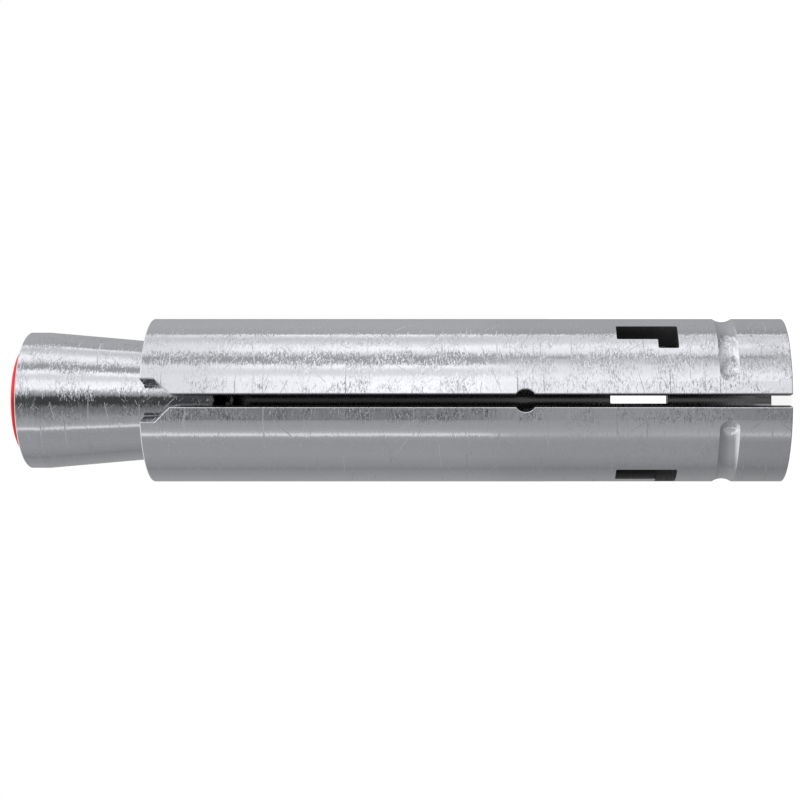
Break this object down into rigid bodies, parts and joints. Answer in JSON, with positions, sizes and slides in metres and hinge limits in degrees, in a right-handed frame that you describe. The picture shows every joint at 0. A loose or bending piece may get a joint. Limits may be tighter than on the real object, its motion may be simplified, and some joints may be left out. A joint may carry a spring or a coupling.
{
  "type": "heavy-duty anchor sleeve",
  "caption": "Steel expansion sleeve with slots, L-shaped windows and a groove, holding a threaded cone nut with a plastic end plug. A bolt draws the cone in to wedge it in a drilled hole.",
  "frame": {"origin": "centre of the sleeve's mouth face, the end where the bolt goes in and on which the part stands", "axes": "+Z along the anchor's axis from the mouth to the cone nut; the sleeve's open seam faces -Y"},
  "size_m": [0.0148, 0.0148, 0.0689],
  "materials": {
    "sleeve_steel": "bright zinc plating with fine handling scratches",
    "cone_steel": "bright zinc plating over a turned surface",
    "red_plastic": "moulded red plastic, slightly satin"
  },
  "bodies": {
    "root": {"expansion_sleeve": "sleeve_steel", "cone_nut": "cone_steel", "end_plug": "red_plastic"}
  },
  "joints": []
}
